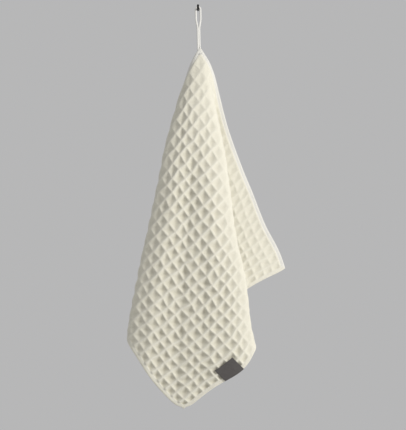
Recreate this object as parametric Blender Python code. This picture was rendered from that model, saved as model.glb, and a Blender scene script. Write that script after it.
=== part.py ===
"""A waffle-weave bar towel hung by one corner, on its cord loop, from a small wall hook.

Metres, +Z up. The wall is the plane Y = 0 and everything hangs at negative Y. The origin is the
centre of the hook's flat end on the wall.
"""

import math

import bpy
import numpy as np

COLLECTION_NAME = "bar_towel"

# Wall hook: a plain round rod, level from the wall and turned up at its front, with a round tip.
HOOK_RADIUS = 0.0018
HOOK_REACH = 0.018
HOOK_BEND = 0.004
HOOK_TOP = 0.0073
BEND_POINTS = 8
TIP_POINTS = 8

# Cloth: a square of honeycomb weave, hung from one corner.
SIDE = 0.400
HEM_WIDTH = 0.0085
HEM_THICKNESS = 0.003
CELLS = 22
RIDGE_GAP = 0.001
WEAVE_THICKNESS = 0.004
PIT_FLOOR = 0.001
DIAGONAL = SIDE * math.sqrt(2)

# The hung diagonal is drawn out on the bias: how far, at the hung corner and at the free one.
TOP_STRETCH = 1.20
END_STRETCH = 0.99

# The two lower hems wave in and out by this much along their length.
HEM_WAVE = 0.0065

# Where the cloth is drawn off its square: at what share along each side, by how much along
# each side, and over what reach. The first four rows are its corners.
SHIFT_COLUMNS = ("at_left", "at_right", "shift_left", "shift_right", "reach")
SHIFT_ROWS = (
    (0.00, 0.00, 0.0028, 0.0028, 0.012),
    (1.00, 1.00, -0.0064, -0.0064, 0.018),
    (1.00, 0.00, -0.0021, 0.0021, 0.010),
    (0.00, 1.00, 0.0060, 0.0032, 0.035),
    (0.00, 0.45, 0.0030, 0.0000, 0.070),
    (0.00, 0.82, 0.0050, 0.0000, 0.055),
    (0.20, 1.00, 0.0000, -0.0040, 0.045),
    (0.69, 1.00, 0.0000, 0.0085, 0.040),
    (0.88, 1.00, 0.0000, -0.0050, 0.050),
    (1.00, 0.66, -0.0060, 0.0000, 0.055),
)

# Where the hung corner would come to a sharp point.
CORNER_X = 0.003
CORNER_Y = -0.014
CORNER_Z = -0.0642

# The folds run out from the hung corner like the ribs of a fan. Each row is one section across
# them, at a distance from that corner. A place is an angle on the flat cloth from its hung
# diagonal, positive towards the right. A turn is how far the cloth bends round there. All angles
# are in degrees. middle_line is where the diagonal hangs, and lean is how far it stands out.
FOLD_COLUMNS = (
    "distance",
    "left_place", "left_turn", "left_arc",
    "front_place", "front_turn",
    "inner_place", "inner_turn",
    "edge_place", "edge_turn",
    "middle_line", "lean",
)
FOLD_ROWS = (
    (0.000, -26.0, 30, 0.036, 14.0, 50, 24.5, 30, 28, 30, 3.0, -15.5),
    (0.040, -24.4, 88, 0.038, 14.0, 84, 24.5, 75, 30, 27, 2.4, -15.8),
    (0.080, -24.8, 108, 0.042, 14.0, 116, 24.0, 112, 31, 25, 2.0, -16.0),
    (0.130, -24.0, 132, 0.046, 14.2, 150, 22.7, 145, 33, 20, 1.6, -15.7),
    (0.180, -22.6, 158, 0.050, 13.9, 172, 21.3, 160, 34, 14, 1.2, -14.2),
    (0.240, -20.0, 176, 0.054, 13.1, 190, 20.2, 175, 35, 8, 0.6, -12.0),
    (0.320, -17.5, 179, 0.058, 12.3, 196, 19.4, 181, 36, 0, -0.2, -9.3),
    (0.400, -15.4, 178, 0.060, 13.5, 200, 20.3, 184, 36, 0, -1.3, -7.5),
    (0.480, -13.9, 178, 0.061, 13.1, 200, 22.0, 184, 36, 0, -1.8, -6.2),
    (0.540, -12.7, 178, 0.062, 13.7, 200, 22.0, 184, 36, 0, -2.1, -5.5),
    (0.640, -12.0, 178, 0.062, 15.0, 200, 22.0, 184, 36, 0, -2.5, -4.7),
)
PLEAT_ARC = 0.028
EDGE_ARC = 0.026
SOFT_SHARE = 0.16
LEFT_SHOULDER = 0.060
RIGHT_SHOULDER = 0.064
WIDEST_FOLD = 30.0

# How finely a section is worked out: rows outwards, and rays across.
SECTION_ROWS = 129
SECTION_RAYS = 1801
FARTHEST_ROW = 0.640
OUTERMOST_RAY = 50.0

# Hanging loop: one cord, over the hook's rod and down to the corner, its two strands coming
# together between the two heights given.
CORD_DIAMETER = 0.0028
GAP = 0.0003
LOOP_Y = -0.009
STRANDS_PART_Z = -0.015
STRANDS_MEET_Z = -0.035
CORD_END_Z = -0.0680
STRAND_POINTS = 17
TURN_POINTS = 10
ROUND_STEPS = 2

# Label: a small woven label on the right lower hem, its long side on the towel's edge.
LABEL_LENGTH = 0.037
LABEL_WIDTH = 0.026
LABEL_THICKNESS = 0.0008
LABEL_FROM_CORNER = 0.084
LABEL_GAP = 0.0004
LABEL_STEPS_ALONG = 8
LABEL_STEPS_ACROSS = 6

CREAM = (0.83, 0.80, 0.70, 1.0)
CORD_WHITE = (0.86, 0.85, 0.80, 1.0)
CHARCOAL = (0.050, 0.048, 0.050, 1.0)
BLACK = (0.012, 0.012, 0.013, 1.0)


def clear_scene():
    for item in list(bpy.data.objects):
        bpy.data.objects.remove(item, do_unlink=True)


def new_collection(name):
    collection = bpy.data.collections.new(name)
    bpy.context.scene.collection.children.link(collection)
    return collection


def surface_material(name, colour, roughness, metallic=0.0):
    material = bpy.data.materials.new(name)
    material.use_nodes = True
    shader = material.node_tree.nodes["Principled BSDF"]
    shader.inputs["Base Color"].default_value = colour
    shader.inputs["Roughness"].default_value = roughness
    shader.inputs["Metallic"].default_value = metallic
    return material


def add_object(name, data, material, collection):
    item = bpy.data.objects.new(name, data)
    data.materials.append(material)
    collection.objects.link(item)
    return item


def smooth_step(value):
    """0 below -1/2, 1 above +1/2, and a smooth curve between."""
    part = np.clip(value + 0.5, 0.0, 1.0)
    return part * part * (3 - 2 * part)


def fold_values(distance):
    """Each named column of the fold table at these distances, on a smooth curve through its rows."""
    rows = np.array(FOLD_ROWS, dtype=float)
    at, values = rows[:, 0], rows[:, 1:]
    rates = np.diff(values, axis=0) / np.diff(at)[:, None]
    slopes = np.vstack([rates[:1], (rates[1:] + rates[:-1]) / 2, rates[-1:]])
    distance = np.clip(distance, at[0], at[-1])
    row = np.clip(np.searchsorted(at, distance, side="right") - 1, 0, len(at) - 2)
    length = (at[row + 1] - at[row])[:, None]
    t = (distance - at[row])[:, None] / length
    curve = (
        (2 * t**3 - 3 * t**2 + 1) * values[row]
        + (t**3 - 2 * t**2 + t) * length * slopes[row]
        + (3 * t**2 - 2 * t**3) * values[row + 1]
        + (t**3 - t**2) * length * slopes[row + 1]
    )
    return {name: curve[:, k : k + 1] for k, name in enumerate(FOLD_COLUMNS[1:])}


def fold_heading(distance, ray):
    """Which way the cloth runs at each distance and ray, seen from above: 0 is to the right."""
    fold = fold_values(distance)
    radius = np.maximum(distance, 1e-4)[:, None]
    widest = radius * math.radians(WIDEST_FOLD)

    def along(place):
        return np.radians(ray[None, :] - place) * radius

    def bend(length, arc):
        return smooth_step(length / np.minimum(arc, widest))

    from_left = along(fold["left_place"])
    from_front = along(fold["front_place"])
    roll = (1 - SOFT_SHARE) * (1 - bend(from_left, fold["left_arc"]))
    roll += SOFT_SHARE * (1 - bend(from_left - LEFT_SHOULDER / 2, LEFT_SHOULDER))
    pleat = (1 - SOFT_SHARE) * bend(from_front, PLEAT_ARC)
    pleat += SOFT_SHARE * bend(from_front + RIGHT_SHOULDER / 2, RIGHT_SHOULDER)
    heading = fold["front_turn"] * pleat - fold["left_turn"] * roll
    heading -= fold["inner_turn"] * bend(along(fold["inner_place"]), PLEAT_ARC)
    heading += fold["edge_turn"] * bend(along(fold["edge_place"]), EDGE_ARC)
    return np.radians(heading), fold


def fold_sections():
    """Across and outward angles of the hung cloth, for every distance and flat ray."""
    distance = np.linspace(0.0, FARTHEST_ROW, SECTION_ROWS)
    ray = np.linspace(-OUTERMOST_RAY, OUTERMOST_RAY, SECTION_RAYS)
    heading, fold = fold_heading(distance, ray)
    step = math.radians(ray[1] - ray[0])

    def summed(rate):
        total = np.zeros_like(rate)
        total[:, 1:] = np.cumsum((rate[:, 1:] + rate[:, :-1]) / 2, axis=1) * step
        middle = SECTION_RAYS // 2
        return total - total[:, middle : middle + 1]

    across = np.radians(fold["middle_line"]) + summed(np.cos(heading))
    outward = np.radians(fold["lean"]) + summed(np.sin(heading))
    return across, outward


def read_table(table, distance, ray):
    """The table's value at each distance and ray, between its own rows and rays."""
    row = np.clip(distance / FARTHEST_ROW * (SECTION_ROWS - 1), 0, SECTION_ROWS - 1.001)
    column = (ray + OUTERMOST_RAY) / (2 * OUTERMOST_RAY) * (SECTION_RAYS - 1)
    column = np.clip(column, 0, SECTION_RAYS - 1.001)
    i, j = row.astype(int), column.astype(int)
    u, v = row - i, column - j
    return (
        table[i, j] * (1 - u) * (1 - v)
        + table[i + 1, j] * u * (1 - v)
        + table[i, j + 1] * (1 - u) * v
        + table[i + 1, j + 1] * u * v
    )


def stretched_plane(left, right):
    """The cloth laid flat but stretched on the bias: distance from the hung corner, and ray.

    left and right are the distances along the two sides that leave the hung corner. Both sets
    of threads keep their length while the squares between them shear into diamonds.
    """
    t, u = left / SIDE, right / SIDE
    more_left = -HEM_WAVE * t**2 * np.sin(2 * np.pi * u)
    more_right = -HEM_WAVE * u**2 * np.sin(2 * np.pi * t)
    for row in SHIFT_ROWS:
        shift = dict(zip(SHIFT_COLUMNS, row))
        away = (t - shift["at_left"]) ** 2 + (u - shift["at_right"]) ** 2
        near = np.exp(-away * (SIDE / shift["reach"]) ** 2)
        more_left = more_left + shift["shift_left"] * near
        more_right = more_right + shift["shift_right"] * near
    down = (left + more_left + right + more_right) / math.sqrt(2)
    aside = (right + more_right - left - more_left) / math.sqrt(2)
    change = (END_STRETCH - TOP_STRETCH) / DIAGONAL
    stretch = TOP_STRETCH + change * down
    x = np.sqrt(2 - stretch**2) * aside
    z = TOP_STRETCH * down + change * (down**2 + aside**2) / 2
    return np.hypot(x, z), np.degrees(np.arctan2(x, z))


def hung_points(left, right, sections):
    """Where the middle of the cloth hangs, for distances along its two top sides."""
    across_table, outward_table = sections
    distance, ray = stretched_plane(left, right)
    across = read_table(across_table, distance, ray)
    outward = read_table(outward_table, distance, ray)
    return np.stack(
        [
            CORNER_X + distance * np.sin(across) * np.cos(outward),
            CORNER_Y + distance * np.sin(outward),
            CORNER_Z - distance * np.cos(across) * np.cos(outward),
        ],
        axis=-1,
    )


def hung_surface(left, right, sections):
    """Points of the hung cloth and its front-facing unit normals."""
    reach = 0.0015
    points = hung_points(left, right, sections)
    to_left = hung_points(left + reach, right, sections) - hung_points(left - reach, right, sections)
    to_right = hung_points(left, right + reach, sections) - hung_points(left, right - reach, sections)
    normals = np.cross(to_left, to_right)
    normals /= np.linalg.norm(normals, axis=-1, keepdims=True)
    return points, normals


def cloth_lines():
    """The grid's lines along one side: hem, then two to each honeycomb cell, then hem."""
    first = HEM_WIDTH + RIDGE_GAP
    cells = np.linspace(first, SIDE - first, 2 * CELLS + 1)
    return np.concatenate([[0.0, HEM_WIDTH], cells, [SIDE - HEM_WIDTH, SIDE]])


def cloth_relief(count):
    """How far the front and the back stand off the middle of the cloth at each grid point.

    In the field, ridge lines cross on the front at every second line both ways, and on the
    back halfway between them, so a pit on one face is a peak on the other.
    """
    number = np.arange(count) - 2
    row, column = np.meshgrid(number % 2, number % 2, indexing="ij")
    half = WEAVE_THICKNESS / 2
    front = np.where((row == 1) & (column == 1), -half + PIT_FLOOR, half)
    back = np.where((row == 0) & (column == 0), half - PIT_FLOOR, -half)
    hem = np.zeros((count, count), dtype=bool)
    hem[:2, :] = hem[-2:, :] = hem[:, :2] = hem[:, -2:] = True
    front[hem] = HEM_THICKNESS / 2
    back[hem] = -HEM_THICKNESS / 2
    return front, back


def closed_sheet(front, back, split):
    """Points and triangles of the solid between two grids of points, closed round its rim.

    split is True where a square is cut from its first corner to its third.
    """
    rows, columns = front.shape[:2]
    number = np.arange(rows * columns).reshape(rows, columns)
    a, b = number[:-1, :-1].ravel(), number[1:, :-1].ravel()
    c, d = number[1:, 1:].ravel(), number[:-1, 1:].ravel()
    split = split.ravel()[:, None]
    first = np.where(split, np.stack([a, b, c], 1), np.stack([a, b, d], 1))
    second = np.where(split, np.stack([a, c, d], 1), np.stack([b, c, d], 1))
    face = np.concatenate([first, second])
    rim = np.concatenate([number[:-1, 0], number[-1, :-1], number[:0:-1, -1], number[0, :0:-1]])
    after = np.roll(rim, -1)
    under = rows * columns
    wall = np.concatenate(
        [np.stack([rim, rim + under, after], 1), np.stack([after, rim + under, after + under], 1)]
    )
    points = np.concatenate([front.reshape(-1, 3), back.reshape(-1, 3)])
    return points, np.concatenate([face, face[:, ::-1] + under, wall])


def mesh_from(name, points, faces):
    mesh = bpy.data.meshes.new(name)
    mesh.from_pydata(points.tolist(), [], faces.tolist())
    mesh.validate()
    mesh.update()
    return mesh


def add_towel(sections, material, collection):
    lines = cloth_lines()
    left, right = np.meshgrid(lines, lines, indexing="ij")
    points, normals = hung_surface(left, right, sections)
    front_relief, back_relief = cloth_relief(len(lines))
    front = points + normals * front_relief[..., None]
    back = points + normals * back_relief[..., None]
    # Each square is cut from its pit to the crossing of the ridges.
    number = np.arange(len(lines) - 1) - 2
    row, column = np.meshgrid(number % 2, number % 2, indexing="ij")
    data = mesh_from("towel", *closed_sheet(front, back, row == column))
    return add_object("towel", data, material, collection)


def add_label(sections, material, collection):
    """A thin plate that follows the cloth just in front of its ridges."""
    start = SIDE - LABEL_FROM_CORNER - LABEL_LENGTH
    along = np.linspace(start, start + LABEL_LENGTH, LABEL_STEPS_ALONG + 1)
    across = np.linspace(SIDE - LABEL_WIDTH, SIDE, LABEL_STEPS_ACROSS + 1)
    left, right = np.meshgrid(along, across, indexing="ij")
    points, normals = hung_surface(left, right, sections)
    under = WEAVE_THICKNESS / 2 + LABEL_GAP
    front = points + normals * (under + LABEL_THICKNESS)
    back = points + normals * under
    split = np.ones((LABEL_STEPS_ALONG, LABEL_STEPS_ACROSS), dtype=bool)
    data = mesh_from("label", *closed_sheet(front, back, split))
    return add_object("label", data, material, collection)


def cord_route():
    """Centre line of the loop: up the left strand, over the hook's rod and down the right."""
    reach = HOOK_RADIUS + GAP + CORD_DIAMETER / 2
    apart = CORD_DIAMETER / 2 + GAP / 2
    height = np.linspace(CORD_END_Z, 0.0, STRAND_POINTS)
    share = height / CORD_END_Z
    # The strands part smoothly from side by side to the rod's two sides.
    halfway = (STRANDS_PART_Z + STRANDS_MEET_Z) / 2
    opening = smooth_step((height - halfway) / (STRANDS_PART_Z - STRANDS_MEET_Z))
    half_width = apart + (reach - apart) * opening
    depth = LOOP_Y + (CORNER_Y - LOOP_Y) * share
    left = np.stack([CORNER_X * share - half_width, depth, height], axis=1)
    right = np.stack([CORNER_X * share + half_width, depth, height], axis=1)
    turn = np.linspace(math.pi, 0.0, TURN_POINTS + 2)[1:-1]
    over = np.stack([reach * np.cos(turn), np.full_like(turn, LOOP_Y), reach * np.sin(turn)], axis=1)
    return np.concatenate([left, over, right[::-1]])


def round_bar(name, route, radius, thickness, material, collection):
    """A round bar or cord along a route. thickness is its share of the radius at each point."""
    data = bpy.data.curves.new(name, "CURVE")
    data.dimensions = "3D"
    data.bevel_depth = radius
    data.bevel_resolution = ROUND_STEPS
    data.use_fill_caps = True
    spline = data.splines.new("POLY")
    spline.points.add(len(route) - 1)
    for point, place, share in zip(spline.points, route, thickness):
        point.co = (*place, 1.0)
        point.radius = share
    return add_object(name, data, material, collection)


def add_loop(material, collection):
    route = cord_route()
    return round_bar("hanging_loop", route, CORD_DIAMETER / 2, np.ones(len(route)), material, collection)


def hook_route():
    """Centre line of the hook and its thickness there: out, round the bend, up, and the tip."""
    bend = np.linspace(0.0, math.pi / 2, BEND_POINTS)
    out = -(HOOK_REACH - HOOK_BEND) - HOOK_BEND * np.sin(bend)
    up = HOOK_BEND * (1 - np.cos(bend))
    tip = np.linspace(0.0, 1.0, TIP_POINTS + 1)[:-1]
    tip_up = HOOK_TOP - HOOK_RADIUS + HOOK_RADIUS * tip
    y = np.concatenate([[0.0], out, np.full(TIP_POINTS, -HOOK_REACH)])
    z = np.concatenate([[0.0], up, tip_up])
    thickness = np.concatenate([np.ones(BEND_POINTS + 1), np.sqrt(1 - tip**2)])
    return np.stack([np.zeros_like(y), y, z], axis=1), thickness


def add_hook(material, collection):
    route, thickness = hook_route()
    return round_bar("wall_hook", route, HOOK_RADIUS, thickness, material, collection)


def main():
    clear_scene()
    collection = new_collection(COLLECTION_NAME)
    sections = fold_sections()
    add_towel(sections, surface_material("waffle_cotton", CREAM, 0.9), collection)
    add_loop(surface_material("cotton_cord", CORD_WHITE, 0.85), collection)
    add_label(sections, surface_material("woven_label", CHARCOAL, 0.8), collection)
    add_hook(surface_material("black_paint", BLACK, 0.5), collection)


main()
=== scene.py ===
# A honeycomb-weave bar towel, hung by one corner on its cord loop from a small black wall hook.
# Metres, +Z up, the wall at Y = 0 and the towel in front of it at negative Y.
import math

import bpy
import numpy as np
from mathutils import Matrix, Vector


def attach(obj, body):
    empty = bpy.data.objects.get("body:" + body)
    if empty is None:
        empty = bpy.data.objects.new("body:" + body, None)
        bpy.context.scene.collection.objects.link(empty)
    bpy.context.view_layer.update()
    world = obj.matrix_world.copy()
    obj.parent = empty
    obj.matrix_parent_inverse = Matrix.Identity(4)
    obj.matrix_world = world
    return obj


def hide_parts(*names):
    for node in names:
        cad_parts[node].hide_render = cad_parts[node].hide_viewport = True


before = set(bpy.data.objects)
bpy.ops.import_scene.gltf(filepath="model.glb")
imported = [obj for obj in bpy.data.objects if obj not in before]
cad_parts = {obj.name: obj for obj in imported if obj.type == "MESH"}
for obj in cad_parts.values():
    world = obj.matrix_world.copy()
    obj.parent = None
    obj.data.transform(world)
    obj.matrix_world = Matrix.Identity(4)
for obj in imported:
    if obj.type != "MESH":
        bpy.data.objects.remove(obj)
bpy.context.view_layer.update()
print("frame loaded:", sorted(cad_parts))

# camera, lights and floor

viewPoint = {
    "place": (0.0085, -2.2, -0.3509),
    "lens": 107.5,  # on the long side of the picture
    "farthest": 40.0,
}
studio = {
    "backColour": (0.498, 0.498, 0.501, 1.0),
    "backStrength": 0.95,
    "floorHeight": -1.30,
    "floorSize": 6.0,
    "floorColour": (0.74, 0.74, 0.73, 1.0),
    "floorRoughness": 0.9,
    "aim": (0.01, -0.04, -0.36),
    # name: place, size across, watts, colour
    "lights": {
        "keyLight": ((1.78, -1.12, 0.30), 0.75, 42.0, (1.0, 0.985, 0.955)),
        "frontLight": ((0.25, -2.6, 0.5), 1.6, 3.0, (1.0, 1.0, 1.0)),
        "leftLight": ((-2.3, -1.3, -0.2), 1.4, 3.5, (1.0, 1.0, 1.0)),
    },
}


def addCamera():
    data = bpy.data.cameras.new("camera")
    data.lens = viewPoint["lens"]
    data.clip_end = viewPoint["farthest"]
    camera = bpy.data.objects.new("camera", data)
    camera.location = viewPoint["place"]
    camera.rotation_euler = (math.radians(90), 0, 0)  # level, straight at the wall
    bpy.context.scene.collection.objects.link(camera)
    bpy.context.scene.camera = camera


def addLights():
    for name, (place, across, watts, colour) in studio["lights"].items():
        data = bpy.data.lights.new(name, "AREA")
        data.shape = "DISK"
        data.size = across
        data.energy = watts
        data.color = colour
        lamp = bpy.data.objects.new(name, data)
        lamp.location = place
        towards = Vector(studio["aim"]) - lamp.location
        lamp.rotation_euler = towards.to_track_quat("-Z", "Y").to_euler()
        bpy.context.scene.collection.objects.link(lamp)


def addBackground():
    world = bpy.data.worlds.new("studio")
    world.use_nodes = True
    back = world.node_tree.nodes["Background"]
    back.inputs["Color"].default_value = studio["backColour"]
    back.inputs["Strength"].default_value = studio["backStrength"]
    bpy.context.scene.world = world
    bpy.context.scene.view_settings.view_transform = "Standard"


def addFloor():
    half, height = studio["floorSize"] / 2, studio["floorHeight"]
    corners = ((-half, -half), (half, -half), (half, half), (-half, half))
    mesh = bpy.data.meshes.new("floor")
    mesh.from_pydata([(x, y, height) for x, y in corners], [], [(0, 1, 2, 3)])
    floor = bpy.data.objects.new("floor", mesh)
    bpy.context.scene.collection.objects.link(floor)
    paint = bpy.data.materials.new("floorPaint")
    paint.use_nodes = True
    shader = paint.node_tree.nodes["Principled BSDF"]
    shader.inputs["Base Color"].default_value = studio["floorColour"]
    shader.inputs["Roughness"].default_value = studio["floorRoughness"]
    mesh.materials.append(paint)


addCamera()
addLights()
addBackground()
addFloor()
print("camera, lights and floor")

# where the cloth hangs. A place on it is (left, right): how far it lies from the hung corner along
# the edge that goes down on the left and along the other

cloth = {
    "side": 0.400,
    "cells": 22,  # about this many a side
    "weaveStart": 0.0095,  # from each edge to where the weave's cells are counted from
    "topStretch": 1.20,  # the hung diagonal is drawn out on the bias
    "endStretch": 0.99,
    "hemWave": 0.0065,
    "corner": (0.003, -0.014, -0.0642),  # where the hung corner would come to a point
}
# where the cloth is drawn off its square: share along each side, by how much, over what reach
clothShifts = (
    (0.00, 0.00, 0.0004, 0.0004, 0.012),
    (1.00, 1.00, -0.0046, -0.0046, 0.014),
    (1.00, 0.00, -0.0021, 0.0021, 0.010),
    (0.00, 1.00, 0.0060, 0.0032, 0.035),
    (0.00, 0.45, 0.0030, 0.0000, 0.070),
    (0.00, 0.82, 0.0050, 0.0000, 0.055),
    (0.20, 1.00, 0.0000, -0.0040, 0.045),
    (0.69, 1.00, 0.0000, 0.0085, 0.040),
    (0.88, 1.00, 0.0000, -0.0050, 0.050),
    (1.00, 0.66, -0.0060, 0.0000, 0.055),
)
# the folds run out from the hung corner like the ribs of a fan: one section a row, by its
# distance from that corner. Places are rays on the flat cloth and turns are how far it bends
# there, both in degrees. leftArc is the width of the left roll's bend.
foldColumns = (
    "leftPlace", "leftTurn", "leftArc", "frontPlace", "frontTurn",
    "innerPlace", "innerTurn", "edgePlace", "edgeTurn", "middleLine", "lean",
)
foldRows = (
    (0.000, -26.0, 30, 0.036, 14.0, 50, 24.5, 30, 28, 30, 3.0, -15.5),
    (0.040, -24.4, 88, 0.038, 14.0, 84, 24.5, 75, 30, 27, 2.4, -15.8),
    (0.080, -24.8, 108, 0.042, 14.0, 116, 24.0, 112, 31, 25, 2.0, -16.0),
    (0.130, -24.0, 132, 0.046, 14.2, 150, 22.7, 145, 33, 20, 1.6, -15.7),
    (0.180, -22.6, 158, 0.050, 13.9, 172, 21.3, 160, 34, 14, 1.2, -14.2),
    (0.240, -20.0, 176, 0.054, 13.1, 190, 20.2, 175, 35, 8, 0.6, -12.0),
    (0.320, -17.5, 179, 0.058, 12.3, 196, 19.4, 181, 36, 0, -0.2, -9.3),
    (0.400, -15.4, 178, 0.060, 13.5, 200, 20.3, 184, 36, 0, -1.3, -7.5),
    (0.480, -13.9, 178, 0.061, 13.1, 200, 22.0, 184, 36, 0, -1.8, -6.2),
    (0.540, -12.7, 178, 0.062, 13.7, 200, 22.0, 184, 36, 0, -2.1, -5.5),
    (0.640, -12.0, 178, 0.062, 15.0, 200, 22.0, 184, 36, 0, -2.5, -4.7),
)
foldShape = {
    "pleatArc": 0.028,
    "edgeArc": 0.026,
    "softShare": 0.16,  # how much of each main fold is a wide soft shoulder
    "leftShoulder": 0.060,
    "rightShoulder": 0.064,
    "widestFold": 30.0,
    "sectionRows": 385,
    "sectionRays": 2401,
    "farthestRow": 0.640,
    "outermostRay": 50.0,
}


def smoothStep(value):
    # 0 below -1/2, 1 above +1/2, a smooth curve between
    part = np.clip(value + 0.5, 0.0, 1.0)
    return part * part * (3 - 2 * part)


def foldValues(distance):
    # each column of the fold table on a smooth cubic through its rows
    rows = np.array(foldRows, dtype=float)
    at, values = rows[:, 0], rows[:, 1:]
    rates = np.diff(values, axis=0) / np.diff(at)[:, None]
    slopes = np.vstack([rates[:1], (rates[1:] + rates[:-1]) / 2, rates[-1:]])
    distance = np.clip(distance, at[0], at[-1])
    row = np.clip(np.searchsorted(at, distance, side="right") - 1, 0, len(at) - 2)
    length = (at[row + 1] - at[row])[:, None]
    t = (distance - at[row])[:, None] / length
    curve = (2 * t**3 - 3 * t**2 + 1) * values[row] + (t**3 - 2 * t**2 + t) * length * slopes[row]
    curve += (3 * t**2 - 2 * t**3) * values[row + 1] + (t**3 - t**2) * length * slopes[row + 1]
    return {name: curve[:, k : k + 1] for k, name in enumerate(foldColumns)}


def foldHeading(distance, ray):
    # heading = front turn x pleat - left turn x roll - inner turn x bend + edge turn x bend,
    # each bend a smooth step across its fold, 0 where the cloth runs to the right
    fold = foldValues(distance)
    radius = np.maximum(distance, 1e-4)[:, None]
    widest = radius * math.radians(foldShape["widestFold"])
    soft = foldShape["softShare"]

    def along(place):
        return np.radians(ray[None, :] - place) * radius

    def bend(length, arc):
        return smoothStep(length / np.minimum(arc, widest))

    fromLeft, fromFront = along(fold["leftPlace"]), along(fold["frontPlace"])
    leftWide, rightWide = foldShape["leftShoulder"], foldShape["rightShoulder"]
    roll = (1 - soft) * (1 - bend(fromLeft, fold["leftArc"]))
    roll += soft * (1 - bend(fromLeft - leftWide / 2, leftWide))
    pleat = (1 - soft) * bend(fromFront, foldShape["pleatArc"])
    pleat += soft * bend(fromFront + rightWide / 2, rightWide)
    heading = fold["frontTurn"] * pleat - fold["leftTurn"] * roll
    heading -= fold["innerTurn"] * bend(along(fold["innerPlace"]), foldShape["pleatArc"])
    heading += fold["edgeTurn"] * bend(along(fold["edgePlace"]), foldShape["edgeArc"])
    return np.radians(heading), fold


def foldSections():
    # across = middle line + the sum of cos heading over the rays, outward = lean + that of sin
    distance = np.linspace(0.0, foldShape["farthestRow"], foldShape["sectionRows"])
    outermost = foldShape["outermostRay"]
    ray = np.linspace(-outermost, outermost, foldShape["sectionRays"])
    heading, fold = foldHeading(distance, ray)
    step = math.radians(ray[1] - ray[0])
    middle = foldShape["sectionRays"] // 2

    def summed(rate):
        total = np.zeros_like(rate)
        total[:, 1:] = np.cumsum((rate[:, 1:] + rate[:, :-1]) / 2, axis=1) * step
        return total - total[:, middle : middle + 1]

    across = np.radians(fold["middleLine"]) + summed(np.cos(heading))
    outward = np.radians(fold["lean"]) + summed(np.sin(heading))
    return across, outward


def between(table, i, j, u, v):
    # the value at a share u of the way from row i to the next and v from column j to the next
    upper = table[i, j] * (1 - v) + table[i, j + 1] * v
    lower = table[i + 1, j] * (1 - v) + table[i + 1, j + 1] * v
    return upper * (1 - u) + lower * u


def readTable(table, distance, ray):
    # straight-line reading between the table's rows and rays, always short of the last of each
    lastRow, lastRay = table.shape[0] - 1, table.shape[1] - 1
    outermost, short = foldShape["outermostRay"], 0.001
    row = distance / foldShape["farthestRow"] * lastRow
    column = (ray + outermost) / (2 * outermost) * lastRay
    row, column = np.clip(row, 0, lastRow - short), np.clip(column, 0, lastRay - short)
    i, j = row.astype(int), column.astype(int)
    return between(table, i, j, row - i, column - j)


def stretchedPlane(left, right):
    # the cloth flat but drawn out on the bias, threads keeping their length: x is sqrt(2 - s^2)
    # times the distance aside, z the sum of the stretch s down the diagonal
    side = cloth["side"]
    t, u = left / side, right / side
    moreLeft = -cloth["hemWave"] * t**2 * np.sin(2 * np.pi * u)
    moreRight = -cloth["hemWave"] * u**2 * np.sin(2 * np.pi * t)
    for atLeft, atRight, shiftLeft, shiftRight, reach in clothShifts:
        near = np.exp(-((t - atLeft) ** 2 + (u - atRight) ** 2) * (side / reach) ** 2)
        moreLeft = moreLeft + shiftLeft * near
        moreRight = moreRight + shiftRight * near
    down = (left + moreLeft + right + moreRight) / math.sqrt(2)
    aside = (right + moreRight - left - moreLeft) / math.sqrt(2)
    change = (cloth["endStretch"] - cloth["topStretch"]) / (side * math.sqrt(2))
    stretch = cloth["topStretch"] + change * down
    x = np.sqrt(2 - stretch**2) * aside
    z = cloth["topStretch"] * down + change * (down**2 + aside**2) / 2
    return np.hypot(x, z), np.degrees(np.arctan2(x, z))


sections = foldSections()


def hungPoints(left, right):
    # corner + distance x (sin across cos outward, sin outward, -cos across cos outward)
    distance, ray = stretchedPlane(left, right)
    across = readTable(sections[0], distance, ray)
    outward = readTable(sections[1], distance, ray)
    x, y, z = cloth["corner"]
    parts = [
        x + distance * np.sin(across) * np.cos(outward),
        y + distance * np.sin(outward),
        z - distance * np.cos(across) * np.cos(outward),
    ]
    return np.stack(parts, axis=-1)


def unit(vectors):
    return vectors / np.linalg.norm(vectors, axis=-1, keepdims=True)


def hungFrame(left, right):
    # points, then the two thread directions and the front-facing normal as unit vectors
    reach = 0.0015  # the directions are read over this distance on each side
    toLeft = unit(hungPoints(left + reach, right) - hungPoints(left - reach, right))
    toRight = unit(hungPoints(left, right + reach) - hungPoints(left, right - reach))
    return hungPoints(left, right), toLeft, toRight, unit(np.cross(toLeft, toRight))


# meshes from arrays


def addPiece(name, points, faces, uv=None, marks=None):
    # uv holds a pair for each point; marks are named numbers, one for each point
    mesh = bpy.data.meshes.new(name)
    mesh.from_pydata(points.tolist(), [], faces)
    if uv is not None:
        corners = np.empty(len(mesh.loops), dtype=np.int32)
        mesh.loops.foreach_get("vertex_index", corners)
        layer = mesh.uv_layers.new(name="clothPlace")
        layer.data.foreach_set("uv", uv[corners].astype(np.float32).ravel())
    for markName, values in (marks or {}).items():
        attribute = mesh.attributes.new(markName, "FLOAT", "POINT")
        attribute.data.foreach_set("value", values.astype(np.float32).ravel())
    mesh.shade_smooth()
    mesh.update()
    piece = bpy.data.objects.new(name, mesh)
    bpy.context.scene.collection.objects.link(piece)
    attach(piece, "root")
    return piece


def shellFaces(rows, columns):
    # two grids of points, front then back, joined round their rims
    number = np.arange(rows * columns).reshape(rows, columns)
    a, b, c, d = number[:-1, :-1], number[1:, :-1], number[1:, 1:], number[:-1, 1:]
    front = np.stack([a, b, c, d], -1).reshape(-1, 4)
    rim = np.concatenate([number[:-1, 0], number[-1, :-1], number[:0:-1, -1], number[0, :0:-1]])
    after, under = np.roll(rim, -1), rows * columns
    wall = np.stack([rim, rim + under, after + under, after], 1)
    return np.concatenate([front, front[:, ::-1] + under, wall]).tolist()


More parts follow.
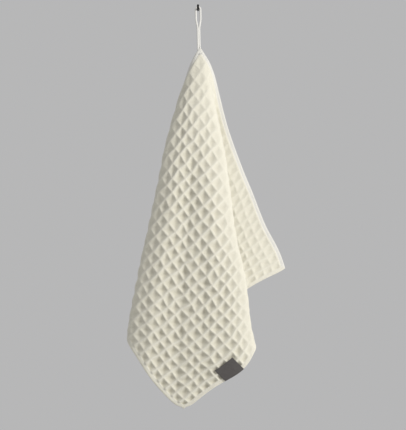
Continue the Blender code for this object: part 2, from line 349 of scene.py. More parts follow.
def tubeSet(centres, upward, sideways, radii):
    # many closed tubes at once: point = centre + radius (upward cos turn + sideways sin turn),
    # with a pole at each end. centres is tubes x rings x 3, radii is rings x points round.
    tubes, rings = centres.shape[:2]
    pointsRound = radii.shape[-1]
    turn = np.arange(pointsRound) * 2 * np.pi / pointsRound
    spoke = upward[:, :, None, :] * np.cos(turn)[:, None]
    spoke = spoke + sideways[:, :, None, :] * np.sin(turn)[:, None]
    skin = centres[:, :, None, :] + spoke * radii[None, :, :, None]
    points = np.concatenate([skin.reshape(tubes, -1, 3), centres[:, :1], centres[:, -1:]], axis=1)
    number = np.arange(rings * pointsRound).reshape(rings, pointsRound)
    beside = np.roll(number, -1, axis=1)
    quads = np.stack([number[:-1], number[1:], beside[1:], beside[:-1]], -1).reshape(-1, 4)
    first, last = rings * pointsRound, rings * pointsRound + 1
    capA = np.stack([number[0], beside[0], np.full(pointsRound, first)], 1)
    capB = np.stack([beside[-1], number[-1], np.full(pointsRound, last)], 1)
    shift = (np.arange(tubes) * (rings * pointsRound + 2))[:, None, None]
    faces = (quads[None] + shift).reshape(-1, 4).tolist()
    faces += (np.concatenate([capA, capB])[None] + shift).reshape(-1, 3).tolist()
    return points.reshape(-1, 3), faces


# the towel's cloth

weave = {
    # the cells counted from one edge's weaveStart to the other's, each way
    "leftCells": (-1.0, 22.5),
    "rightCells": (-2.0, 21.5),
    # how the cells drift between: two numbers for the left way, two for the right
    "leftDrift": -0.74,
    "leftGrowth": 0.20,
    "rightShear": 3.2,
    "shearReach": 0.6,
    "crossingWander": 0.10,  # how far the ridges' crossings stray, in cells
    "wanderSeeds": (11, 13),
    "spareCells": 4,  # random values past the cloth's cells, on each side
    "nudges": 16,  # rounds in which the mesh's lines are moved onto the ridges
    # front and back in each of the next four
    "ridgeShift": (0.0, 0.5),  # in cells: the back's pits lie under the front's ridges
    "ridgeHeight": (0.0032, 0.0034),
    "pitDepth": (0.0049, 0.0026),
    # how much of the way to the pit's middle is wall: on the far and the near side of the ridges
    # of the left way, then on both sides of those of the right way
    "wallShare": ((0.66, 0.94, 0.80), (1.0, 1.0, 1.0)),
    "crest": 0.03,  # how round the ridge tops are
    "overFloat": 0.05,  # half width of the flat threads over the ridges of the right way
    "underRidge": 0.14,  # how much lower the other ridges are, as a share of the depth
    "cornering": 13.0,  # higher is sharper where two walls meet
    "depthSpread": 0.10,
    "depthSeed": 7,
    # the relief is drawn flat along the hung edge and on two folds: by how much, over what reach.
    # The edge has two shares: at the hung corner and at its far end.
    "edgeCalm": (0.76, 0.60, 0.100),
    "foldCalm": {"frontPlace": (0.86, -0.006, 0.021), "leftPlace": (0.60, 0.004, 0.032)},
    "calmGrows": 0.22,  # the distance at which a fold's reach is full
    "calmLeast": 0.25,  # the share of that reach which it has near the corner
    "calmLevel": 0.3,  # how deep flattened cloth lies, as a share of the pits' depth
    "hemWidth": 0.0070,
    "hemStep": 0.0012,  # over how far the relief rises out of the hem
    "hemHalf": 0.0016,
    "hemRound": 0.0013,
    "thinRim": 0.03,
    "hemSeam": 0.0056,
    "seamDip": 0.00045,
    "seamWidth": 0.0007,
    "paleReach": 0.01,  # over how far the upper hems' white fades at the side corners
}
hemLines = (0.0, 0.0004, 0.0013, 0.0034, 0.0050, 0.0060, 0.0067, 0.0075, 0.0084)
ridgeShares = (0.0, 0.05, 0.17, 0.34, 0.50, 0.66, 0.83, 0.95)  # mesh lines from ridge to ridge
# soft creases in the front: from one distance and ray to another, height and half width
creaseRows = (
    (0.16, 0.62, -12.0, -6.0, 0.0022, 0.011),
    (0.14, 0.62, -5.0, -1.5, -0.0022, 0.010),
    (0.20, 0.60, 3.5, 4.5, 0.0014, 0.010),
)
creaseFade = {"inRate": 4, "outPlace": 0.93, "outRate": 6}  # along each, as shares of its length


def randomCells(seed):
    # a value from -1 to 1 for each cell of the weave
    count = cloth["cells"] + 2 * weave["spareCells"] + 1
    return np.random.RandomState(seed).rand(count, count) * 2 - 1


def atCrossings(a, b, seed):
    # a random value at each crossing of the ridges, with smooth steps between
    i, j = np.floor(a).astype(int), np.floor(b).astype(int)
    u, v = smoothStep(a - i - 0.5), smoothStep(b - j - 0.5)
    spare = weave["spareCells"]
    return between(randomCells(seed), i + spare, j + spare, u, v)


def cellPlace(left, right):
    # place in the weave in cells, with the front's ridges at whole numbers:
    # a = t of the way + 4 t (1 - t) (drift + growth (t + u)),
    # b = u of the way + 4 u (1 - u) shear (t - u) bell(t - u), and both stray a little
    first = cloth["weaveStart"]
    t = (left - first) / (cloth["side"] - 2 * first)
    u = (right - first) / (cloth["side"] - 2 * first)
    inT, inU = np.clip(t, 0, 1), np.clip(u, 0, 1)
    (startA, endA), (startB, endB) = weave["leftCells"], weave["rightCells"]
    bell = np.exp(-(((inT - inU) / weave["shearReach"]) ** 2))
    a = startA + (endA - startA) * t
    a = a + 4 * inT * (1 - inT) * (weave["leftDrift"] + weave["leftGrowth"] * (inT + inU))
    b = startB + (endB - startB) * u
    b = b + 4 * inU * (1 - inU) * weave["rightShear"] * (inT - inU) * bell
    inward = np.minimum(np.minimum(inT, 1 - inT), np.minimum(inU, 1 - inU))
    stray = weave["crossingWander"] * np.clip(inward * cloth["cells"], 0, 1)
    seedA, seedB = weave["wanderSeeds"]
    return a + stray * atCrossings(a, b, seedA), b + stray * atCrossings(a, b, seedB)


def pitShare(left, right, isBack):
    # 0 on the ridges and 1 on a pit's floor: soft least of the distances from the ridges of both
    # ways, in wall widths, and the floor's 1. Each pit is a little deeper or shallower.
    a, b = (place + weave["ridgeShift"][isBack] for place in cellPlace(left, right))
    i, j = (np.floor(place).astype(int) + weave["spareCells"] for place in (a, b))
    deeper = 1 + weave["depthSpread"] * randomCells(weave["depthSeed"] + isBack)[i, j]

    def fromRidge(value, flat, farWall, nearWall):
        after = value - np.floor(value)
        far = np.maximum(after * 2 - flat, 0) / (farWall - flat)
        near = np.maximum((1 - after) * 2 - flat, 0) / (nearWall - flat)
        return np.sqrt(np.minimum(far, near) ** 2 + weave["crest"] ** 2) - weave["crest"]

    farWall, nearWall, rightWall = weave["wallShare"][isBack]
    x = fromRidge(a, 0.0, farWall, nearWall) + weave["underRidge"]
    y = fromRidge(b, weave["overFloat"], rightWall, rightWall)
    sharp = weave["cornering"]
    together = np.exp(-sharp * x) + np.exp(-sharp * y) + math.exp(-sharp)
    return -np.log(together) / sharp * deeper


def reliefShare(left, right):
    # how much of the relief is left: 1 less a bell along the hung edge and along each fold
    near, far, reach = weave["edgeCalm"]
    calm = (near + (far - near) * right / cloth["side"]) * np.exp(-((left / reach) ** 2))
    distance, ray = stretchedPlane(left, right)
    fold = foldValues(distance.ravel())
    for name, (share, aside, reach) in weave["foldCalm"].items():
        away = np.radians(ray - fold[name].reshape(ray.shape)) * distance - aside
        grown = reach * np.clip(distance / weave["calmGrows"], weave["calmLeast"], 1)
        calm = np.maximum(calm, share * np.exp(-((away / grown) ** 2)))
    return 1 - calm


def roundedRim(inward, reach, least):
    # a quarter circle: sqrt(1 - (1 - inward / reach)^2), 1 beyond its reach
    return np.sqrt(np.clip(1 - (1 - np.clip(inward / reach, 0, 1)) ** 2, least, 1))


def hemForm(left, right):
    # how much of the surface is hem, and the hem's own height with a dip along its seam
    side = cloth["side"]
    inward = np.minimum(np.minimum(left, side - left), np.minimum(right, side - right))
    hem = 1 - smoothStep((inward - weave["hemWidth"]) / weave["hemStep"])
    flat = weave["hemHalf"] * roundedRim(inward, weave["hemRound"], weave["thinRim"])
    dip = np.exp(-(((inward - weave["hemSeam"]) / weave["seamWidth"]) ** 2))
    return hem, flat - weave["seamDip"] * dip


def weaveHeight(left, right, isBack):
    # how far the surface stands off the cloth's middle, how deep in a pit it is, how much of it
    # is hem, and how much relief is left
    pit, relief = pitShare(left, right, isBack), reliefShare(left, right)
    hem, flat = hemForm(left, right)
    level = pit * relief + weave["calmLevel"] * (1 - relief)
    height = weave["ridgeHeight"][isBack] - weave["pitDepth"][isBack] * level
    height = hem * flat + (1 - hem) * height
    return height, np.clip(pit, 0, 1) * relief * (1 - hem), hem, relief


def clothLines(cells, isBack):
    # one way's mesh lines: hem lines by distance, then the weave's own places, then hem lines
    spare = weave["spareCells"]
    places = np.arange(-spare, cloth["cells"] + spare)[:, None] + np.array(ridgeShares)
    places = places.ravel() + weave["ridgeShift"][isBack]
    places = places[(places > cells[0] - 1e-6) & (places < cells[1] + 1e-6)]
    hem = np.array(hemLines)
    isHem = np.repeat([True, False, True], [len(hem), len(places), len(hem)])
    return np.concatenate([hem, places, cloth["side"] - hem[::-1]]), isHem


def clothGrid(isBack):
    # flat places of the mesh's points: nudged until each line lies on its place in the weave
    first = cloth["weaveStart"]
    ways = []
    for cells in (weave["leftCells"], weave["rightCells"]):
        lines, isHem = clothLines(cells, isBack)
        step = (cloth["side"] - 2 * first) / (cells[1] - cells[0])
        start = np.where(isHem, lines, first + (lines - cells[0]) * step)
        ways.append((lines, isHem, step, start))
    (linesA, hemA, stepA, startA), (linesB, hemB, stepB, startB) = ways
    left, right = np.meshgrid(startA, startB, indexing="ij")
    for _ in range(weave["nudges"]):
        a, b = cellPlace(left, right)
        left = np.where(hemA[:, None], left, left + stepA * (linesA[:, None] - a))
        right = np.where(hemB, right, right + stepB * (linesB - b))
    return left, right


def creaseHeight(left, right):
    # sum of soft ridges and troughs, each a bell across its line that fades at both ends
    distance, ray = stretchedPlane(left, right)
    total = np.zeros_like(distance)
    for start, end, rayStart, rayEnd, height, width in creaseRows:
        share = (distance - start) / (end - start)
        line = rayStart + (rayEnd - rayStart) * share
        aside = np.radians(ray - line) * distance
        fade = smoothStep(share * creaseFade["inRate"] - 0.5)
        fade = fade * (1 - smoothStep((share - creaseFade["outPlace"]) * creaseFade["outRate"]))
        total += height * fade * np.exp(-((aside / width) ** 2))
    return total


def clothFace(isBack):
    # points and their places in the weave, then for each point how deep in a pit it is, how much
    # hem, how much relief and how much of the upper hems' white it has
    left, right = clothGrid(isBack)
    points, _, _, normals = hungFrame(left, right)
    height, pit, hem, relief = weaveHeight(left, right, isBack)
    height = creaseHeight(left, right) + (-height if isBack else height)
    uv = (np.stack(cellPlace(left, right), -1) + weave["ridgeShift"][isBack]) / cloth["cells"]
    fromLower = cloth["side"] - np.maximum(left, right)
    upper = smoothStep((fromLower - np.minimum(left, right)) / weave["paleReach"])
    return points + normals * height[..., None], uv, pit, hem, relief * (1 - hem), hem * upper


def addTowel():
    front, back = clothFace(False), clothFace(True)
    points, uv, *values = (
        np.concatenate([face.reshape(-1, *face.shape[2:]) for face in faces])
        for faces in zip(front, back)
    )
    marks = dict(zip(("pitDepth", "hemShare", "reliefShare", "hemPale"), values))
    return addPiece("waffleCloth", points, shellFaces(*front[0].shape[:2]), uv, marks)


towel = addTowel()
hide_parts("towel")
print("cloth:", len(towel.data.polygons), "faces")

# stitches, each a short thread that dives into the cloth at its ends

stitchShape = {"round": 6, "rings": 5, "thinning": 0.85}  # the thread thins towards its ends
hemThread = {
    "pitch": 0.0032,
    "length": 0.0027,
    "thickness": 0.00055,
    "sink": 0.0005,
    "lift": 0.45,  # how far its middle stands off the cloth, in thicknesses
    "fromCorner": 0.009,
}
# a short bar of close stitches holds the cord's ends in the corner
cornerTack = {
    "fromCorner": 0.0085,
    "halfSpan": 0.0032,
    "threads": 9,
    "length": 0.0030,
    "thickness": 0.00065,
    "sink": 0.0004,
    "lift": 0.4,
}


def stitches(left, right, aimLeft, aimRight, above, isBack, thread):
    # middles at (left, right) on the flat cloth, each thread along (aimLeft, aimRight):
    # middle + s length / 2 along it - s^2 sink into the cloth, for s from -1 to 1
    points, toLeft, toRight, normal = hungFrame(left, right)
    along = unit(toLeft * aimLeft + toRight * aimRight)
    normal = -normal if isBack else normal
    share = np.linspace(-1, 1, stitchShape["rings"])
    crease = creaseHeight(left, right) * (-1 if isBack else 1)
    middle = points + normal * (above + thread["thickness"] * thread["lift"] + crease)[:, None]
    centres = middle[:, None] + along[:, None] * (share * thread["length"] / 2)[None, :, None]
    centres = centres - normal[:, None] * (thread["sink"] * share**2)[None, :, None]
    radii = thread["thickness"] / 2 * np.sqrt(1 - stitchShape["thinning"] * share**4)
    radii = np.broadcast_to(radii[:, None], (stitchShape["rings"], stitchShape["round"]))
    upward = np.broadcast_to(np.cross(along, normal)[:, None], centres.shape)
    sideways = np.broadcast_to(normal[:, None], centres.shape)
    return tubeSet(centres, upward, sideways, radii)


def bothSides(left, right, aimLeft, aimRight, thread):
    # the same stitches on the cloth's front and back
    parts = []
    for isBack in (False, True):
        above = weaveHeight(left, right, isBack)[0]
        parts.append(stitches(left, right, aimLeft, aimRight, above, isBack, thread))
    return parts


def joined(parts):
    # several (points, faces) as one
    points, faces, start = [], [], 0
    for somePoints, someFaces in parts:
        points.append(somePoints)
        faces += [[corner + start for corner in face] for face in someFaces]
        start += len(somePoints)
    return np.concatenate(points), faces


def addHemStitches():
    side, first = cloth["side"], hemThread["fromCorner"]
    count = int((side - 2 * first) / hemThread["pitch"])
    along, seam = np.linspace(first, side - first, count), np.full(count, weave["hemSeam"])
    parts = bothSides(along, seam, 1, 0, hemThread)
    parts += bothSides(along, side - seam, 1, 0, hemThread)
    parts += bothSides(seam, along, 0, 1, hemThread)
    parts += bothSides(side - seam, along, 0, 1, hemThread)
    return addPiece("hemStitches", *joined(parts))


def addCornerTack():
    # threads side by side across the diagonal, each along it
    aside = np.linspace(-1, 1, cornerTack["threads"]) * cornerTack["halfSpan"]
    left, right = cornerTack["fromCorner"] - aside, cornerTack["fromCorner"] + aside
    return addPiece("cornerTack", *joined(bothSides(left, right, 1, 1, cornerTack)))


hemStitches, cornerStitches = addHemStitches(), addCornerTack()
print("stitches:", len(hemStitches.data.polygons) + len(cornerStitches.data.polygons), "faces")

# hanging loop: a braided cord, up from the corner, over the hook and down again

loop = {
    "diameter": 0.0034,
    "hookRadius": 0.0018,
    "gap": 0.0004,
    "depth": -0.009,
    "endAside": 0.0014,
    "halfApart": 0.0014,  # of the strands where they hang together
    "halfLayer": 0.0012,  # how far the left strand hangs in front and the right one behind
    "strandsPart": -0.015,
    "strandsMeet": -0.035,
    "end": -0.0680,
    "into": 0.0025,  # how far the ends go on into the corner's hem
    "strandSteps": 240,
    "turnSteps": 80,
    "rings": 620,
    "round": 24,
    "pathEvery": 10,  # rings from one point of the path to the next
    "braidPitch": 0.0058,
    "braidStrands": 6,
    "braidRelief": 0.13,
    "braidFullness": 1.6,  # lower is rounder
}


def loopRoute(count):
    # centre line: up the left strand, round the hook's rod and down the right, evenly spaced
    reach = loop["hookRadius"] + loop["gap"] + loop["diameter"] / 2
    x, y = loop["endAside"], cloth["corner"][1]
    height = np.linspace(loop["end"] - loop["into"], 0.0, loop["strandSteps"])
    share = height / loop["end"]
    part, meet = loop["strandsPart"], loop["strandsMeet"]
    opening = smoothStep((height - (part + meet) / 2) / (part - meet))
    half = loop["halfApart"] + (reach - loop["halfApart"]) * opening
    depth = loop["depth"] + (y - loop["depth"]) * share
    layer = loop["halfLayer"] * (1 - opening)
    left = np.stack([x * share - half, depth - layer, height], 1)
    right = np.stack([x * share + half, depth + layer, height], 1)
    turn = np.linspace(math.pi, 0.0, loop["turnSteps"] + 2)[1:-1]
    across, up = reach * np.cos(turn), reach * np.sin(turn)
    over = np.stack([across, np.full_like(turn, loop["depth"]), up], 1)
    route = np.concatenate([left, over, right[::-1]])
    gone = np.concatenate([[0], np.cumsum(np.linalg.norm(np.diff(route, axis=0), axis=1))])
    even = np.linspace(0, gone[-1], count)
    return np.stack([np.interp(even, gone, route[:, k]) for k in range(3)], 1), gone[-1]


def addLoop():
    # tube round the route; radius = cord radius less a dip between crossing strands of the braid
    route, length = loopRoute(loop["rings"])
    along = unit(np.gradient(route, axis=0))
    outward = np.array([0.0, -1.0, 0.0])
    sideways = unit(np.cross(along, outward))
    upward = unit(np.cross(sideways, along))
    gone = np.linspace(0, length, loop["rings"])[:, None]
    turn = np.arange(loop["round"])[None, :] * 2 * np.pi / loop["round"]
    lean = 2 * np.pi * gone / loop["braidPitch"]
    over = np.abs(np.sin((loop["braidStrands"] * turn + 2 * lean) / 2))
    under = np.abs(np.sin((loop["braidStrands"] * turn - 2 * lean) / 2))
    bulge = np.maximum(over, under) ** loop["braidFullness"]
    radii = loop["diameter"] / 2 * (1 - loop["braidRelief"] * (1 - bulge))
    points, faces = tubeSet(route[None], upward[None], sideways[None], radii)
    around = np.tile(np.arange(loop["round"]) / loop["round"], loop["rings"])
    uv = np.stack([around, np.repeat(gone[:, 0] / length, loop["round"])], 1)
    uv = np.concatenate([uv, [[0.5, 0.0], [0.5, 1.0]]])
    piece = addPiece("cordLoop", points, faces, uv)
    return piece


cordLoop = addLoop()
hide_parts("hanging_loop")
print("cord loop:", len(cordLoop.data.polygons), "faces")

# label: bare woven cloth, sewn down at its ends

label = {
    "length": 0.0355,
    "width": 0.0245,
    "thickness": 0.0008,
    "fromCorner": 0.0855,
    "above": 0.0001,
    "sag": 0.0004,
    "ontoHem": 0.0004,  # how much lower it lies over the hem
    "edgeRound": 0.0006,
    "thinRim": 0.05,
    "rimShare": 0.45,  # of the thickness, at the very rim
    "stepsAlong": 74,
    "stepsAcross": 52,
    "crowding": 0.35,  # how much closer the steps are at the ends
}
labelStart = cloth["side"] - label["fromCorner"] - label["length"]
labelThread = {
    "pitch": 0.0024,
    "length": 0.0021,
    "thickness": 0.0004,
    "sink": 0.0004,
    "lift": 0.2,
    "fromEnd": 0.0018,
    "fromSide": 0.002,
}


def labelHeights(left, right):
    # underside = ridge height less a little sag over the pits and a step down onto the hem
    side, rim = cloth["side"], label["rimShare"]
    _, pit, hem, _ = weaveHeight(left, right, False)
    under = weave["ridgeHeight"][0] + label["above"]
    under = under - label["sag"] * pit - label["ontoHem"] * hem
    fromEnds = np.minimum(left - labelStart, labelStart + label["length"] - left)
    fromSides = np.minimum(side - right, right - (side - label["width"]))
    inward = np.minimum(fromEnds, fromSides)
    rounded = roundedRim(inward, label["edgeRound"], label["thinRim"])
    return under, under + label["thickness"] * (rim + (1 - rim) * rounded)


def crowdedSteps(count):
    # 0 to 1, closer together towards both ends
    ease = (1 - np.cos(np.linspace(0, np.pi, count))) / 2
    return label["crowding"] * ease + (1 - label["crowding"]) * np.linspace(0, 1, count)


def addLabel():
    side = cloth["side"]
    along, across = crowdedSteps(label["stepsAlong"]), crowdedSteps(label["stepsAcross"])
    lines = labelStart + along * label["length"], side - (1 - across) * label["width"]
    left, right = np.meshgrid(*lines, indexing="ij")
    points, _, _, normals = hungFrame(left, right)
    under, over = labelHeights(left, right)
    crease = creaseHeight(left, right)
    front = points + normals * (over + crease)[..., None]
    back = points + normals * (under + crease)[..., None]
    both = np.concatenate([front.reshape(-1, 3), back.reshape(-1, 3)])
    uv = np.stack([left - labelStart, right - side + label["width"]], -1).reshape(-1, 2)
    uv = np.concatenate([uv, uv]) / label["length"]
    return addPiece("bareLabel", both, shellFaces(*left.shape), uv)


def addLabelStitches():
    side, fromSide, fromEnd = cloth["side"], labelThread["fromSide"], labelThread["fromEnd"]
    count = int(label["width"] / labelThread["pitch"])
    right = np.linspace(side - label["width"] + fromSide, side - fromSide, count)
    parts = []
    for place in (labelStart + fromEnd, labelStart + label["length"] - fromEnd):
        left = np.full(count, place)
        above = labelHeights(left, right)[1]
        parts.append(stitches(left, right, 0, 1, above, False, labelThread))
    return addPiece("labelStitches", *joined(parts))


bareLabel = addLabel()
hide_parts("label")
labelStitches = addLabelStitches()
print("label and its stitches")

# node groups that several materials share

honeycombShape = {
    "floatFullness": 0.6,  # lower is rounder
    "notchFullness": 0.4,
    "floatShare": 0.75,  # the rest of the height is the notches'
    "highlightWidth": 0.16,  # of the painted highlight along the crests: on each side of a ridge, as a share of the way to the pit's middle
    "underHighlight": 0.4,  # how much of the painted crest highlight the lower ridges have
}
plainLift = 0.35  # how much a thread rises where it passes over


def newGroup(name, inputs, outputs):
    # inputs are name: first value, None where a place is linked in; outputs are names
    tree = bpy.data.node_groups.new(name, "ShaderNodeTree")
    for socketName, value in inputs.items():
        kind = "NodeSocketVector" if value is None else "NodeSocketFloat"
        socket = tree.interface.new_socket(socketName, in_out="INPUT", socket_type=kind)
        if value is not None:
            socket.default_value = value
    for socketName in outputs:
        tree.interface.new_socket(socketName, in_out="OUTPUT", socket_type="NodeSocketFloat")
    return tree, tree.nodes.new("NodeGroupInput"), tree.nodes.new("NodeGroupOutput")


def feed(tree, value, socket):
    # a number or a colour is set, a socket is linked
    if isinstance(value, (int, float, tuple)):
        socket.default_value = value
    else:
        tree.links.new(value, socket)


def maths(tree, operation, *values):
    node = tree.nodes.new("ShaderNodeMath")
    node.operation = operation
    for k, value in enumerate(values):
        feed(tree, value, node.inputs[k])
    return node.outputs[0]


def mix(tree, share, first, second, kind="RGBA", blend="MIX"):
    node = tree.nodes.new("ShaderNodeMix")
    node.data_type = kind
    node.blend_type = blend
    feed(tree, share, node.inputs["Factor"])
    feed(tree, first, node.inputs["A"])
    feed(tree, second, node.inputs["B"])
    return node.outputs["Result"]


def noise(tree, place, scale, detail, roughness):
    node = tree.nodes.new("ShaderNodeTexNoise")
    feed(tree, place, node.inputs["Vector"])
    feed(tree, scale, node.inputs["Scale"])
    node.inputs["Detail"].default_value = detail
    node.inputs["Roughness"].default_value = roughness
    return node.outputs["Fac"]


def bothWays(tree, place):
    # the place's first two parts
    parts = tree.nodes.new("ShaderNodeSeparateXYZ")
    tree.links.new(place, parts.inputs[0])
    return parts.outputs["X"], parts.outputs["Y"]


def buildHoneycombThreads():
    # floats run side by side along the nearest ridge and shorten towards each pit's middle:
    # height = |sin| of the distance from that ridge, notched by |sin| of that from the other way's.
    # The painted highlight is 1 on the ridges of the right way and less on the others, 0 away from
    # them
    inputs = {"Place": None, "Cells": 22.0, "Threads": 8.0}
    tree, given, made = newGroup("honeycombThreads", inputs, ("Height", "GapShade", "PaintedHighlight"))

    def fromRidge(socket):
        scaled = maths(tree, "MULTIPLY", socket, given.outputs["Cells"])
        return maths(tree, "MULTIPLY", maths(tree, "PINGPONG", scaled, 0.5), 2.0)

    def ribs(value, fullness):
        angle = maths(tree, "MULTIPLY", value, given.outputs["Threads"])
        angle = maths(tree, "MULTIPLY", angle, math.pi)
        return maths(tree, "POWER", maths(tree, "ABSOLUTE", maths(tree, "SINE", angle)), fullness)

    # a painted highlight along a ridge, fading to nothing over a share of the way to the pit's
    # middle
    def crest(value, strength):
        away = maths(tree, "DIVIDE", value, honeycombShape["highlightWidth"])
        near = maths(tree, "SUBTRACT", 1.0, maths(tree, "MINIMUM", away, 1.0))
        return maths(tree, "MULTIPLY", near, strength)

    x, y = (fromRidge(socket) for socket in bothWays(tree, given.outputs["Place"]))
    floats = ribs(maths(tree, "MINIMUM", x, y), honeycombShape["floatFullness"])
    notches = ribs(maths(tree, "MAXIMUM", x, y), honeycombShape["notchFullness"])
    share = honeycombShape["floatShare"]
    notches = maths(tree, "MULTIPLY", notches, 1 - share)
    height = maths(tree, "ADD", maths(tree, "MULTIPLY", floats, share), notches)
    ridgeHighlight = maths(tree, "MAXIMUM", crest(y, 1.0), crest(x, honeycombShape["underHighlight"]))
    tree.links.new(height, made.inputs["Height"])
    # one less the height: where painted shade goes between the threads
    tree.links.new(maths(tree, "SUBTRACT", 1.0, height), made.inputs["GapShade"])
    tree.links.new(ridgeHighlight, made.inputs["PaintedHighlight"])
    return tree


def buildPlainThreads():
    # plain weave: height = greater of the two thread sets, each lifted where it passes over
    inputs = {"Place": None, "Threads": 300.0}
    tree, given, made = newGroup("plainThreads", inputs, ("Height",))

    def wave(socket, kind):
        angle = maths(tree, "MULTIPLY", socket, given.outputs["Threads"])
        return maths(tree, kind, maths(tree, "MULTIPLY", angle, math.pi))

    def threadSet(socket, lift):
        lifted = maths(tree, "MULTIPLY_ADD", over, lift, 1 - plainLift)
        return maths(tree, "MULTIPLY", maths(tree, "ABSOLUTE", wave(socket, "SINE")), lifted)

    u, v = bothWays(tree, given.outputs["Place"])
    over = maths(tree, "MULTIPLY", wave(u, "COSINE"), wave(v, "COSINE"))
    height = maths(tree, "MAXIMUM", threadSet(u, plainLift), threadSet(v, -plainLift))
    tree.links.new(height, made.inputs["Height"])
    return tree


def buildYarnFuzz():
    # fine fibres: a quick noise for the height and a slow one for uneven shade
    inputs = {"Place": None, "Fineness": 2600.0, "Patches": 28.0}
    tree, given, made = newGroup("yarnFuzz", inputs, ("Fibres", "Shade"))
    place = given.outputs["Place"]
    fibres = noise(tree, place, given.outputs["Fineness"], 4.0, 0.5)
    shade = noise(tree, place, given.outputs["Patches"], 3.0, 0.5)
    tree.links.new(fibres, made.inputs["Fibres"])
    tree.links.new(shade, made.inputs["Shade"])
    return tree


honeycombThreads = buildHoneycombThreads()
plainThreads = buildPlainThreads()
yarnFuzz = buildYarnFuzz()
print("node groups")

# materials; a look's finish holds the shader's values that are the same all over


def newMaterial(name, look):
    material = bpy.data.materials.new(name)
    material.use_nodes = True
    tree = material.node_tree
    shader = tree.nodes["Principled BSDF"]
    for socketName, value in look["finish"].items():
        shader.inputs[socketName].default_value = value
    return material, tree, shader


def placeGroup(tree, group, place, values):
    node = tree.nodes.new("ShaderNodeGroup")
    node.node_tree = group
    tree.links.new(place, node.inputs["Place"])
    for name, value in values.items():
        node.inputs[name].default_value = value
    return node


def objectPlace(tree):
    return tree.nodes.new("ShaderNodeTexCoord").outputs["Object"]


def clothPlace(tree):
    node = tree.nodes.new("ShaderNodeUVMap")
    node.uv_map = "clothPlace"
    return node.outputs["UV"]


def mark(tree, name):
    node = tree.nodes.new("ShaderNodeAttribute")
    node.attribute_name = name
    return node.outputs["Fac"]


def bump(tree, height, depth, before=None):
    # depth is (distance, strength)
    node = tree.nodes.new("ShaderNodeBump")
    node.inputs["Distance"].default_value, node.inputs["Strength"].default_value = depth
    tree.links.new(height, node.inputs["Height"])
    if before is not None:
        tree.links.new(before, node.inputs["Normal"])
    return node.outputs["Normal"]


waffleLook = {
    "cream": (0.842, 0.812, 0.702, 1.0),
    # painted shade: a darker cream down in the pits
    "pitShadeCream": (0.680, 0.645, 0.532, 1.0),
    "pitShadeReach": 1.4,  # higher keeps the painted pit shade nearer to the pits' floors
    # a paler cream painted along the ridge crests as a highlight
    "crestHighlightCream": (0.920, 0.893, 0.795, 1.0),
    "hemWhite": (0.830, 0.815, 0.765, 1.0),
    # painted shade between the threads
    "gapShadeTint": (0.84, 0.84, 0.8148, 1.0),
    "patchTint": (0.955, 0.955, 0.940675, 1.0),
    "fibreTint": (0.84, 0.84, 0.84, 1.0),
    "fuzz": {"Fineness": 850.0, "Patches": 34.0},
    "honeycomb": {"Cells": float(cloth["cells"]), "Threads": 5.5},
    "hemWeave": {"Threads": 350.0},
    "threadBump": (0.00065, 0.8),
    "fibreBump": (0.00042, 0.6),
    "finish": {
        "Roughness": 0.93,
        "Specular IOR Level": 0.15,
        "Sheen Weight": 0.25,
        "Sheen Roughness": 0.55,
    },
}


def waffleMaterial():
    look = waffleLook
    material, tree, shader = newMaterial("waffleCotton", look)
    fuzz = placeGroup(tree, yarnFuzz, objectPlace(tree), look["fuzz"])
    honey = placeGroup(tree, honeycombThreads, clothPlace(tree), look["honeycomb"])
    plain = placeGroup(tree, plainThreads, clothPlace(tree), look["hemWeave"])
    hem = mark(tree, "hemShare")
    # painted shade: darker cream the deeper in a pit the surface is
    pitShadeShare = maths(tree, "POWER", mark(tree, "pitDepth"), look["pitShadeReach"])
    colour = mix(tree, pitShadeShare, look["cream"], look["pitShadeCream"])
    colour = mix(tree, mark(tree, "hemPale"), colour, look["hemWhite"])
    # painted highlight: paler cream along the ridge crests, less where the relief is drawn flat
    crestHighlightShare = maths(tree, "MULTIPLY", honey.outputs["PaintedHighlight"], mark(tree, "reliefShare"))
    colour = mix(tree, crestHighlightShare, colour, look["crestHighlightCream"])
    # painted shade: darker in the gaps between the threads, none on the hem
    gapShadeShare = maths(tree, "MULTIPLY", honey.outputs["GapShade"], maths(tree, "SUBTRACT", 1.0, hem))
    colour = mix(tree, gapShadeShare, colour, look["gapShadeTint"], blend="MULTIPLY")
    colour = mix(tree, fuzz.outputs["Shade"], colour, look["patchTint"], blend="MULTIPLY")
    colour = mix(tree, fuzz.outputs["Fibres"], colour, look["fibreTint"], blend="MULTIPLY")
    tree.links.new(colour, shader.inputs["Base Color"])
    threads = mix(tree, hem, honey.outputs["Height"], plain.outputs["Height"], "FLOAT")
    normal = bump(tree, threads, look["threadBump"])
    normal = bump(tree, fuzz.outputs["Fibres"], look["fibreBump"], normal)
    tree.links.new(normal, shader.inputs["Normal"])
    return material


threadLook = {
    "white": (0.77, 0.76, 0.73, 1.0),
    "shadeWhite": (0.64, 0.63, 0.60, 1.0),
    "fuzz": {"Fineness": 3200.0, "Patches": 160.0},
    "fibreBump": (0.0002, 0.7),
    "finish": {"Roughness": 0.88, "Specular IOR Level": 0.2, "Sheen Weight": 0.25},
}


def cordMaterial():
    look = threadLook
    material, tree, shader = newMaterial("cottonCord", look)
    fuzz = placeGroup(tree, yarnFuzz, objectPlace(tree), look["fuzz"])
    colour = mix(tree, fuzz.outputs["Shade"], look["white"], look["shadeWhite"])
    tree.links.new(colour, shader.inputs["Base Color"])
    normal = bump(tree, fuzz.outputs["Fibres"], look["fibreBump"])
    tree.links.new(normal, shader.inputs["Normal"])
    return material


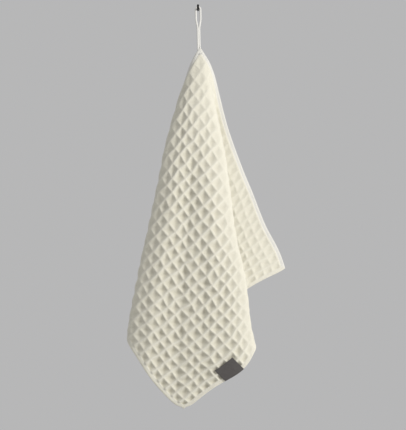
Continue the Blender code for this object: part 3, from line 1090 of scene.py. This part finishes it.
labelLook = {
    "charcoal": (0.062, 0.056, 0.054, 1.0),
    "threadTopHighlight": (0.150, 0.140, 0.134, 1.0),
    "topShare": 3.0,  # higher keeps the painted highlight nearer to the threads' tops
    "fuzz": {"Fineness": 1500.0, "Patches": 420.0},
    "weave": {"Threads": 92.0},
    "threadBump": (0.00016, 0.9),
    "finish": {"Roughness": 0.72, "Sheen Weight": 0.15},
}


def labelMaterial():
    look = labelLook
    material, tree, shader = newMaterial("wovenLabel", look)
    fuzz = placeGroup(tree, yarnFuzz, objectPlace(tree), look["fuzz"])
    threads = placeGroup(tree, plainThreads, clothPlace(tree), look["weave"]).outputs["Height"]
    # painted highlight on the threads' tops, broken up by random patches of tone
    lit = maths(tree, "POWER", threads, look["topShare"])
    lit = maths(tree, "MULTIPLY", lit, fuzz.outputs["Shade"])
    colour = mix(tree, lit, look["charcoal"], look["threadTopHighlight"])
    tree.links.new(colour, shader.inputs["Base Color"])
    tree.links.new(bump(tree, threads, look["threadBump"]), shader.inputs["Normal"])
    return material


hookLook = {
    "black": (0.002, 0.002, 0.0022, 1.0),
    "dust": (0.009, 0.009, 0.0085, 1.0),
    "dustReach": 4.0,  # higher keeps the dust in smaller patches
    "smudges": (420.0, 4.0, 0.55),  # scale, detail, roughness
    "grain": (2400.0, 3.0, 0.55),
    "grainBump": (0.00005, 0.35),
    "leastRough": 0.46,
    "mostRough": 0.64,
    "finish": {"Specular IOR Level": 0.12},
}


def hookMaterial():
    look = hookLook
    material, tree, shader = newMaterial("blackPaint", look)
    place = objectPlace(tree)
    smudge = noise(tree, place, *look["smudges"])
    dusty = maths(tree, "POWER", smudge, look["dustReach"])
    tree.links.new(mix(tree, dusty, look["black"], look["dust"]), shader.inputs["Base Color"])
    low, high = look["leastRough"], look["mostRough"]
    rough = maths(tree, "MULTIPLY_ADD", smudge, high - low, low)
    tree.links.new(rough, shader.inputs["Roughness"])
    normal = bump(tree, noise(tree, place, *look["grain"]), look["grainBump"])
    tree.links.new(normal, shader.inputs["Normal"])
    return material


waffleCotton, cottonCord, wovenLabel = waffleMaterial(), cordMaterial(), labelMaterial()
towel.data.materials.append(waffleCotton)
for piece in (hemStitches, cornerStitches, cordLoop):
    piece.data.materials.append(cottonCord)
for piece in (bareLabel, labelStitches):
    piece.data.materials.append(wovenLabel)
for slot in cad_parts["wall_hook"].material_slots:
    slot.material = hookMaterial()
print("materials")
